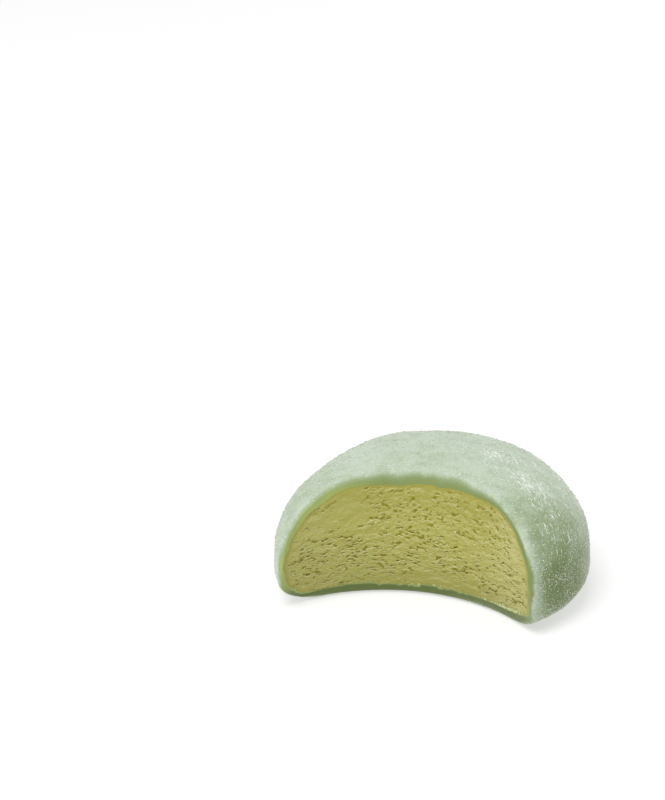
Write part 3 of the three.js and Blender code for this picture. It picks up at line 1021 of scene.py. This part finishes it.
# %% Ice crystals in the face
CRYSTAL_COUNT = 260
CRYSTAL_SIZE = 0.06
CRYSTAL_SIZES = (0.035, 0.13)
crystal_random = np.random.default_rng(13)
crystal_density = on_filling(torn * edge_fade + 0.05)
places, normals = places_on(filling_points, face_quads, crystal_density, CRYSTAL_COUNT, crystal_random)
sizes = np.clip(crystal_random.lognormal(np.log(CRYSTAL_SIZE), 0.3, CRYSTAL_COUNT), *CRYSTAL_SIZES)
form = {"stretch": (1.0, 1.8), "flatness": 0.8, "sunk": 0.3}
crystals = lumps("ice_crystals", places, normals, sizes, crystal_random, **form)
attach(crystals, "root")

# %% Crumbs along the lower edge of the bite
CRUMB_COUNT = 70
CRUMB_SIZES = (0.06, 0.2)
CRUMBS_IN_CORNER = 0.7  # share of them that fell in the lower right corner
CRUMB_CORNER = 337.5  # degrees round the bite
CRUMB_INSET = 0.85  # furthest from the dough
crumb_random = np.random.default_rng(17)
crumb_turn = np.where(
    crumb_random.random(CRUMB_COUNT) < CRUMBS_IN_CORNER,
    np.radians(np.clip(crumb_random.normal(CRUMB_CORNER, 3.2, CRUMB_COUNT), 328, 349)),
    crumb_random.uniform(np.radians(195), np.radians(345), CRUMB_COUNT),
)
inset = CRUMB_INSET * crumb_random.random(CRUMB_COUNT) ** 1.5
crumb_x = np.interp(crumb_turn, fine_turns, sample_rim[:, 0]) - inset * np.cos(crumb_turn)
crumb_z = np.interp(crumb_turn, fine_turns, sample_rim[:, 2]) - inset * np.sin(crumb_turn)
places = np.stack([crumb_x, bite_at(crumb_x, crumb_z) + 0.02, crumb_z], axis=1)
normals = np.tile([0.2, -0.8, 0.5], (CRUMB_COUNT, 1))
normals /= np.linalg.norm(normals[0])
sizes = crumb_random.uniform(*CRUMB_SIZES, CRUMB_COUNT)
form = {"stretch": (1.0, 1.9), "flatness": 0.8, "sunk": 0.35}
crumbs = lumps("dough_crumbs", places, normals, sizes, crumb_random, **form)
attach(crumbs, "root")

# %% [markdown]
# ## Materials
#
# A material is a tree of nodes. One function adds a node, sets its options, and fills each of its inputs
# with a number, a colour or a link from another node. Colours are picked as screen colours, so another
# function turns them into the linear values that light is worked out with.


# %% Helpers for materials
def linear(colour):
    """A hex screen colour as linear red, green, blue and alpha."""
    channels = [int(colour[i : i + 2], 16) / 255.0 for i in (1, 3, 5)]
    turned = [c / 12.92 if c <= 0.04045 else ((c + 0.055) / 1.055) ** 2.4 for c in channels]
    return (*turned, 1.0)


def add(tree, kind, inputs=None, **settings):
    """Adds a node. Each input takes a value, a socket, or a node, whose first output in use is linked."""
    made = tree.nodes.new(kind)
    for key, value in settings.items():
        setattr(made, key, value)
    for key, value in (inputs or {}).items():
        if isinstance(value, bpy.types.Node):
            value = next(output for output in value.outputs if output.enabled)
        if isinstance(value, bpy.types.NodeSocket):
            tree.links.new(value, made.inputs[key])
        else:
            made.inputs[key].default_value = value
    return made


def new_material(name, piece):
    """Puts an empty material on a piece and gives its tree."""
    material = bpy.data.materials.new(name)
    material.use_nodes = True
    material.node_tree.nodes.clear()
    piece.data.materials.append(material)
    print("material:", name)
    return material.node_tree


print("mid grey in linear light:", round(linear("#808080")[0], 3))

# %% [markdown]
# ### Dusted rice dough
#
# Steamed rice dough is a translucent gel: light goes a millimetre or two into it and comes out softened
# and greener, so it needs subsurface scattering. Its own surface is damp and slightly glossy. Under starch
# it turns pale and completely matt. So there are two colours, bare and dusted, and one mask that decides
# between them. The mask starts from the amounts on the mesh and gets its edges from two noises: clouds
# 2.5 mm wide, and the grit of the powder. Grit is finer than a tenth of a millimetre and would not show, so
# it is drawn a third of a millimetre wide.

# %% Rice dough, steamed and dusted with potato starch: the powder
tree = new_material("steamed_rice_dough_dusted", skin)
place = add(tree, "ShaderNodeTexCoord").outputs["Object"]
here = {}
for name in skin_amounts:
    here[name] = add(tree, "ShaderNodeAttribute", attribute_name=name).outputs["Fac"]
clouds = add(tree, "ShaderNodeTexNoise", {"Vector": place, "Scale": 1 / (2.5 * MM), "Detail": 5.0})
grit = add(tree, "ShaderNodeTexNoise", {"Vector": place, "Scale": 1 / (0.32 * MM), "Detail": 3.0})
cloud_share = add(tree, "ShaderNodeMapRange", {0: clouds, 1: 0.3, 2: 0.7, 3: -0.13, 4: 0.13})
grit_share = add(tree, "ShaderNodeMapRange", {0: grit, 1: 0.35, 2: 0.65, 3: -0.11, 4: 0.11})
dust_cloudy = add(tree, "ShaderNodeMath", {0: here["dusting"], 1: cloud_share}, operation="ADD")
dust_gritty = add(tree, "ShaderNodeMath", {0: dust_cloudy, 1: grit_share}, operation="ADD")
print("amounts that the dough reads:", ", ".join(here))

# %% [markdown]
# Two kinds of marks stand out of the powder. Specks are clumps of starch: one cell every 0.4 mm, and where
# the cell's random number is high there is a clump in its middle. Crinkles are noise that is squeezed along
# two directions, 2 mm long the way the dough was stretched and 0.14 mm across it. Their pale tops are partly
# starch and partly painted glints.

# %% Specks and crinkles
specks = add(tree, "ShaderNodeTexVoronoi", {"Vector": place, "Scale": 1 / (0.4 * MM)})
speck_edge = add(tree, "ShaderNodeMapRange", {0: specks, 1: 0.3, 2: 0.16, 3: 0.0, 4: 1.0})
speck_pick = add(tree, "ShaderNodeSeparateColor", {0: specks.outputs["Color"]})
speck_chosen = add(tree, "ShaderNodeMapRange", {0: speck_pick, 1: 0.55, 2: 0.75, 3: 0.0, 4: 0.5})
speck = add(tree, "ShaderNodeMath", {0: speck_edge, 1: speck_chosen}, operation="MULTIPLY")

stretched_way = Vector(STREAK_WAY).normalized()
across_way = stretched_way.orthogonal().normalized()
third_way = stretched_way.cross(across_way)
crinkle_parts = []
for way, pitch in ((stretched_way, 2.0), (across_way, 0.14), (third_way, 0.14)):
    part = add(tree, "ShaderNodeVectorMath", {0: place, 1: way / (pitch * MM)}, operation="DOT_PRODUCT")
    crinkle_parts.append(part)
crinkle_place = add(tree, "ShaderNodeCombineXYZ", dict(enumerate(crinkle_parts)))
crinkle = add(tree, "ShaderNodeTexNoise", {"Vector": crinkle_place, "Scale": 1.0, "Detail": 2.0})
# the pale tops of the crinkles are partly painted glints
crinkle_top = add(tree, "ShaderNodeMapRange", {0: crinkle, 1: 0.36, 2: 0.64, 3: -0.3, 4: 0.26})
crinkle_here = add(tree, "ShaderNodeMath", {0: crinkle_top, 1: here["streaky"]}, operation="MULTIPLY")
print("crinkles run along", np.round(stretched_way, 2))

# %% How much starch, and where it lies thick
marks = add(tree, "ShaderNodeMath", {0: speck, 1: crinkle_here}, operation="ADD")
dust_marked = add(tree, "ShaderNodeMath", {0: dust_gritty, 1: marks}, operation="ADD")
not_bare = add(tree, "ShaderNodeMath", {0: 1.0, 1: here["bare"]}, operation="SUBTRACT")
dust = add(tree, "ShaderNodeMath", {0: dust_marked, 1: not_bare}, operation="MULTIPLY", use_clamp=True)
# thick marks are clumps of starch, and on the crinkles partly painted glints
thick_marks = add(tree, "ShaderNodeMath", {0: speck, 1: crinkle_here}, operation="MAXIMUM")
thick_share = add(tree, "ShaderNodeMapRange", {0: thick_marks, 1: 0.24, 2: 0.5, 3: 0.0, 4: 0.5})
thick = add(tree, "ShaderNodeMath", {0: thick_share, 1: not_bare}, operation="MULTIPLY")
print("nodes so far:", len(tree.nodes))

# %% [markdown]
# The colours are laid over each other like glazes. Each one mixes two others, by one of the amounts, and
# has a name, so that a later one can use it. A thin film of starch lets the green through, and where the
# starch lies thick it is nearly white.

# %% Colours of the dough
DOUGH_COLOURS = (  # name, amount, colour without it, colour with it
    ("rim", here["thin"], "#7b8b51", "#9fad60"),
    ("wet", here["bare"], "#677842", "rim"),
    # damp dough and painted shade along the lowest band
    ("damp_and_shade", here["damp_and_shade"], "wet", "#5d6c31"),
    ("torn", here["teeth"], "damp_and_shade", "#9aac68"),
    ("film", dust, "#9fb08a", "#b7c4b1"),
    ("dusted", dust, "torn", "film"),
    ("dough", thick, "dusted", "#dbe4d5"),
)
shades = {}
for name, amount, without, with_it in DOUGH_COLOURS:
    ends = [shades[colour] if colour in shades else linear(colour) for colour in (without, with_it)]
    shades[name] = add(tree, "ShaderNodeMix", {0: amount, 6: ends[0], 7: ends[1]}, data_type="RGBA")
print("colours of the dough:", ", ".join(shades))

# %% Surface of the dough
dough_roughness = add(tree, "ShaderNodeMapRange", {0: dust, 1: 0.0, 2: 0.6, 3: 0.48, 4: 0.92})
grit_height = add(tree, "ShaderNodeMath", {0: grit, 1: speck}, operation="ADD")
dough_height = add(tree, "ShaderNodeMath", {0: grit_height, 1: crinkle_here}, operation="ADD")
dough_bump = add(tree, "ShaderNodeBump", {"Height": dough_height, "Strength": 0.5, "Distance": 0.06 * MM})
dough_shader = add(
    tree,
    "ShaderNodeBsdfPrincipled",
    {
        "Base Color": shades["dough"],
        "Roughness": dough_roughness,
        "IOR": 1.45,
        "Specular IOR Level": 0.35,
        "Subsurface Weight": 0.25,
        "Subsurface Radius": (1.0, 1.1, 0.55),
        "Subsurface Scale": 0.8 * MM,
        "Sheen Weight": 0.5,  # loose powder is brighter toward the outline
        "Sheen Roughness": 0.3,
        "Normal": dough_bump,
    },
)
add(tree, "ShaderNodeOutputMaterial", {"Surface": dough_shader})
print("nodes in the dough:", len(tree.nodes))

# %% [markdown]
# ### Green tea ice cream
#
# Churned milk, cream and powdered green tea. It is a dense foam, opaque after a millimetre, matt with a
# faint damp gleam. Light that falls into a pit bounces about and comes out browner and more saturated, so
# the upper walls of the pits, where shade falls, are painted a deeper olive than their shadow alone would
# give: painted shade. The folds below them, where they face up, are painted a paler cream: a painted
# highlight. Foam is not one colour either: it drifts over 4 mm, is mottled over 0.9 mm, and its bubbles,
# drawn 0.36 mm wide, are deeper between their walls.

# %% Ice cream, churned and frozen, torn by the bite: its patterns
tree = new_material("churned_green_tea_ice_cream", filling)
place = add(tree, "ShaderNodeTexCoord").outputs["Object"]
here = {}
for name in face_amounts:
    here[name] = add(tree, "ShaderNodeAttribute", attribute_name=name).outputs["Fac"]
drifts = add(tree, "ShaderNodeTexNoise", {"Vector": place, "Scale": 1 / (4.0 * MM), "Detail": 3.0})
patterns = {}
for name, size, flatter, detail in (("foam", 0.36, 1.9, 3.0), ("mottle", 0.9, 1.6, 2.0)):
    squeezed = add(tree, "ShaderNodeMapping", {"Vector": place, "Scale": (1.0, 1.0, flatter)})
    pattern = {"Vector": squeezed, "Scale": 1 / (size * MM), "Detail": detail}
    patterns[name] = add(tree, "ShaderNodeTexNoise", pattern)
print("flat patterns of the ice cream:", ", ".join(patterns))

# %% [markdown]
# Many burst bubbles are too small for the mesh, so their shading is painted: each is a short dark upper edge
# of painted shade with a pale lower one of painted highlight. One noise is used twice: once in its place, for
# the painted shade, and once dropped by a sixth of a millimetre, for the painted highlight, which only shows
# where the relief turns up to the light.

# %% Flecks of small burst bubbles
FLECK = 0.3
FLECK_DROP = 0.16
fleck_shades = []
for drop in (0.0, FLECK_DROP):
    moved = {"Vector": place, "Location": (0.0, 0.0, 2.0 * drop * MM), "Scale": (1.0, 1.0, 2.0)}
    fleck_place = add(tree, "ShaderNodeMapping", moved)
    fleck = add(tree, "ShaderNodeTexNoise", {"Vector": fleck_place, "Scale": 1 / (FLECK * MM), "Detail": 1.0})
    fleck_shades.append(add(tree, "ShaderNodeMapRange", {0: fleck, 1: 0.57, 2: 0.69, 3: 0.0, 4: 1.0}))
strength = add(tree, "ShaderNodeMapRange", {0: here["torn"], 1: 0.0, 2: 1.0, 3: 0.12, 4: 0.6})
facing_up = add(tree, "ShaderNodeMapRange", {0: here["tilt"], 1: -0.15, 2: 0.15, 3: 0.0, 4: 1.0})
pale_strength = add(tree, "ShaderNodeMath", {0: strength, 1: facing_up}, operation="MULTIPLY")
fleck_painted_shade = add(tree, "ShaderNodeMath", {0: fleck_shades[0], 1: strength}, operation="MULTIPLY")
fleck_painted_highlight = add(tree, "ShaderNodeMath", {0: fleck_shades[1], 1: pale_strength}, operation="MULTIPLY")
print("nodes so far:", len(tree.nodes))

# %% [markdown]
# Again the colours are glazes, but here each simply lies over all the ones before it. A row says what the
# glaze follows, the amounts at which it starts and is complete, how strong it then is, and its colour.

# %% Colours of the ice cream
GLAZES = (
    (patterns["foam"], 0.35, 0.7, 0.3, "#989040"),  # deeper between the bubbles
    (patterns["mottle"], 0.36, 0.62, 0.6, "#a2a754"),  # greener where there is more tea
    (here["shaded"], 0.0, 1.0, 0.5, "#918e43"),  # under the lip and low down
    (here["frost_and_light"], 0.0, 1.0, 0.36, "#cbc992"),  # paler at both ends of the bite: partly frost, partly painted light
    # painted shade where the relief faces down, painted light where it faces up
    (here["tilt"], 0.0, -0.5, 0.5, "#91882c"),  # facing down
    (here["tilt"], 0.0, 0.5, 0.62, "#c6c29a"),  # facing up
    # painted highlight and painted shade of the small burst bubbles
    (fleck_painted_highlight, 0.0, 1.0, 1.0, "#c8c48c"),
    (fleck_painted_shade, 0.0, 1.0, 1.0, "#8a7e0c"),
    # painted shade on the upper walls of the pits
    (here["pit"], 0.15, 0.65, 0.84, "#7c7207"),
    # painted highlight on the folds below the pits
    (here["fold"], 0.01, 0.06, 0.75, "#ccc890"),
    (here["near_edge"], 0.2, 0.9, 0.5, "#9a9242"),  # painted shade where the ice cream meets the dough
)
own_colour = {0: drifts, 6: linear("#a39e52"), 7: linear("#b1ac70")}
shade = add(tree, "ShaderNodeMix", own_colour, data_type="RGBA")
for follows, low, high, strongest, colour in GLAZES:
    share = add(tree, "ShaderNodeMapRange", {0: follows, 1: low, 2: high, 3: 0.0, 4: strongest})
    shade = add(tree, "ShaderNodeMix", {0: share, 6: shade, 7: linear(colour)}, data_type="RGBA")
print(len(GLAZES), "glazes over the foam's own colour")

# %% Surface of the ice cream
foam_bump = add(tree, "ShaderNodeBump", {"Height": patterns["foam"], "Strength": 1.0, "Distance": 0.07 * MM})
ice_cream_shader = add(
    tree,
    "ShaderNodeBsdfPrincipled",
    {
        "Base Color": shade,
        "Roughness": 0.62,
        "IOR": 1.4,
        "Specular IOR Level": 0.12,
        "Subsurface Weight": 0.12,
        "Subsurface Radius": (1.0, 0.9, 0.35),
        "Subsurface Scale": 0.2 * MM,
        "Normal": foam_bump,
    },
)
add(tree, "ShaderNodeOutputMaterial", {"Surface": ice_cream_shader})
print("nodes in the ice cream:", len(tree.nodes))

# %% [markdown]
# ### Starch, crystals and crumbs
#
# Dry potato starch is a bright, very matt white, and here it has taken a little green from the dough. Ice
# crystals are clear, but so small that they read as cream-coloured glints. Crumbs are dough and starch
# mixed. Each gets a slow colour change, so that no two lumps are quite alike.

# %% Starch, crystals and crumbs
SMALL_THINGS = (  # piece, material, two colours, roughness, gloss
    (grains, "dry_potato_starch", "#eef2e8", "#dbe2d2", 0.9, 0.2),
    (clumps, "damp_potato_starch_clumps", "#c2cdbd", "#b3c0ab", 0.9, 0.2),
    # the streaks are starch and painted glints
    (streaks, "potato_starch_streaks_and_painted_glints", "#f4f7f0", "#e2eadd", 0.85, 0.25),
    (crystals, "ice_crystals_in_cream", "#dedbb4", "#c8c68c", 0.3, 0.5),
    (crumbs, "crumbs_of_dough_and_starch", "#c8cfa3", "#aebb83", 0.6, 0.3),
)
for piece, name, first, second, roughness, gloss in SMALL_THINGS:
    tree = new_material(name, piece)
    place = add(tree, "ShaderNodeTexCoord").outputs["Object"]
    variety = add(tree, "ShaderNodeTexNoise", {"Vector": place, "Scale": 1 / (0.6 * MM), "Detail": 2.0})
    tone = add(tree, "ShaderNodeMix", {0: variety, 6: linear(first), 7: linear(second)}, data_type="RGBA")
    surface = {"Base Color": tone, "Roughness": roughness, "IOR": 1.45, "Specular IOR Level": gloss}
    shader = add(tree, "ShaderNodeBsdfPrincipled", surface)
    add(tree, "ShaderNodeOutputMaterial", {"Surface": shader})

# %% [markdown]
# ## Floor, light and camera
#
# The floor is a plain white sheet, big enough to fill the view. It glows a little, so that the bun's shadow
# on it stays faint.

# %% Floor
FLOOR_HALF = 1.5  # metres
FLOOR_DROP = 0.02  # millimetres, so that the floor and the base don't flicker into each other
floor_corners = [(x * FLOOR_HALF, y * FLOOR_HALF, 0) for x, y in ((-1, -1), (1, -1), (1, 1), (-1, 1))]
floor_mesh = bpy.data.meshes.new("studio_floor")
floor_mesh.from_pydata(floor_corners, [], [(0, 1, 2, 3)])
floor = bpy.data.objects.new("studio_floor", floor_mesh)
bpy.context.scene.collection.objects.link(floor)
floor.location.z = -FLOOR_DROP * MM
tree = new_material("white_studio_floor", floor)
floor_shader = add(
    tree,
    "ShaderNodeBsdfPrincipled",
    {
        "Base Color": linear("#b3b3b3"),
        "Roughness": 0.9,
        "Specular IOR Level": 0.1,
        "Emission Color": linear("#ffffff"),
        "Emission Strength": 0.55,
    },
)
add(tree, "ShaderNodeOutputMaterial", {"Surface": floor_shader})

# %% [markdown]
# The bun stands in a white room, which lights it evenly from all sides. Two round lamps give it form. The
# key lamp is wide and hangs high in front, a little to the left, so it fills the bite and leaves soft
# shadows in its pits. The edge lamp is small and stands low behind at the right, where it draws a bright
# line along the shoulder.

# %% Light
ROOM_STRENGTH = 0.5
LAMPS = (  # name, place in metres, width in metres, watts
    ("key_lamp", (-0.14, -0.48, 0.86), 0.70, 8.2),
    ("edge_lamp", (0.32, 0.78, 0.28), 0.25, 1.5),
)
scene = bpy.context.scene
scene.view_settings.view_transform = "Standard"
world = bpy.data.worlds.new("white_room")
world.use_nodes = True
world.node_tree.nodes.clear()
white = {"Color": (1.0, 1.0, 1.0, 1.0), "Strength": ROOM_STRENGTH}
room = add(world.node_tree, "ShaderNodeBackground", white)
add(world.node_tree, "ShaderNodeOutputWorld", {"Surface": room})
scene.world = world

for name, lamp_place, width, watts in LAMPS:
    lamp_data = bpy.data.lights.new(name, "AREA")
    lamp_data.shape = "DISK"
    lamp_data.size = width
    lamp_data.energy = watts
    lamp = bpy.data.objects.new(name, lamp_data)
    lamp.location = lamp_place
    lamp.rotation_euler = (-Vector(lamp_place)).to_track_quat("-Z", "Y").to_euler()
    scene.collection.objects.link(lamp)
    print(name, round(Vector(lamp_place).length, 2), "m away,", watts, "W")

# %% [markdown]
# The camera is a long lens at a normal height for somebody at a table, looking down on the bite a little
# from the right. Its three axes are worked out from two angles, and they are the columns of its matrix.

# %% Camera
CAMERA_AT = Vector((66.242, -308.685, 156.230)) * MM
AZIMUTH = np.radians(15.25)
ELEVATION = np.radians(22.0)
LENS = 99.855  # millimetres, on a sensor 36 mm wide
right = Vector((np.cos(AZIMUTH), np.sin(AZIMUTH), 0.0))
back = Vector((np.sin(AZIMUTH) * np.cos(ELEVATION), -np.cos(AZIMUTH) * np.cos(ELEVATION), np.sin(ELEVATION)))
up = back.cross(right)
camera_data = bpy.data.cameras.new("table_camera")
camera_data.lens = LENS
camera_data.sensor_width = 36.0
camera = bpy.data.objects.new("table_camera", camera_data)
axes = Matrix((right, up, back)).transposed()
camera.matrix_world = Matrix.Translation(CAMERA_AT) @ axes.to_4x4()
scene.collection.objects.link(camera)
scene.camera = camera
print("camera:", round(CAMERA_AT.length, 2), "m away, with a lens of", LENS, "mm")
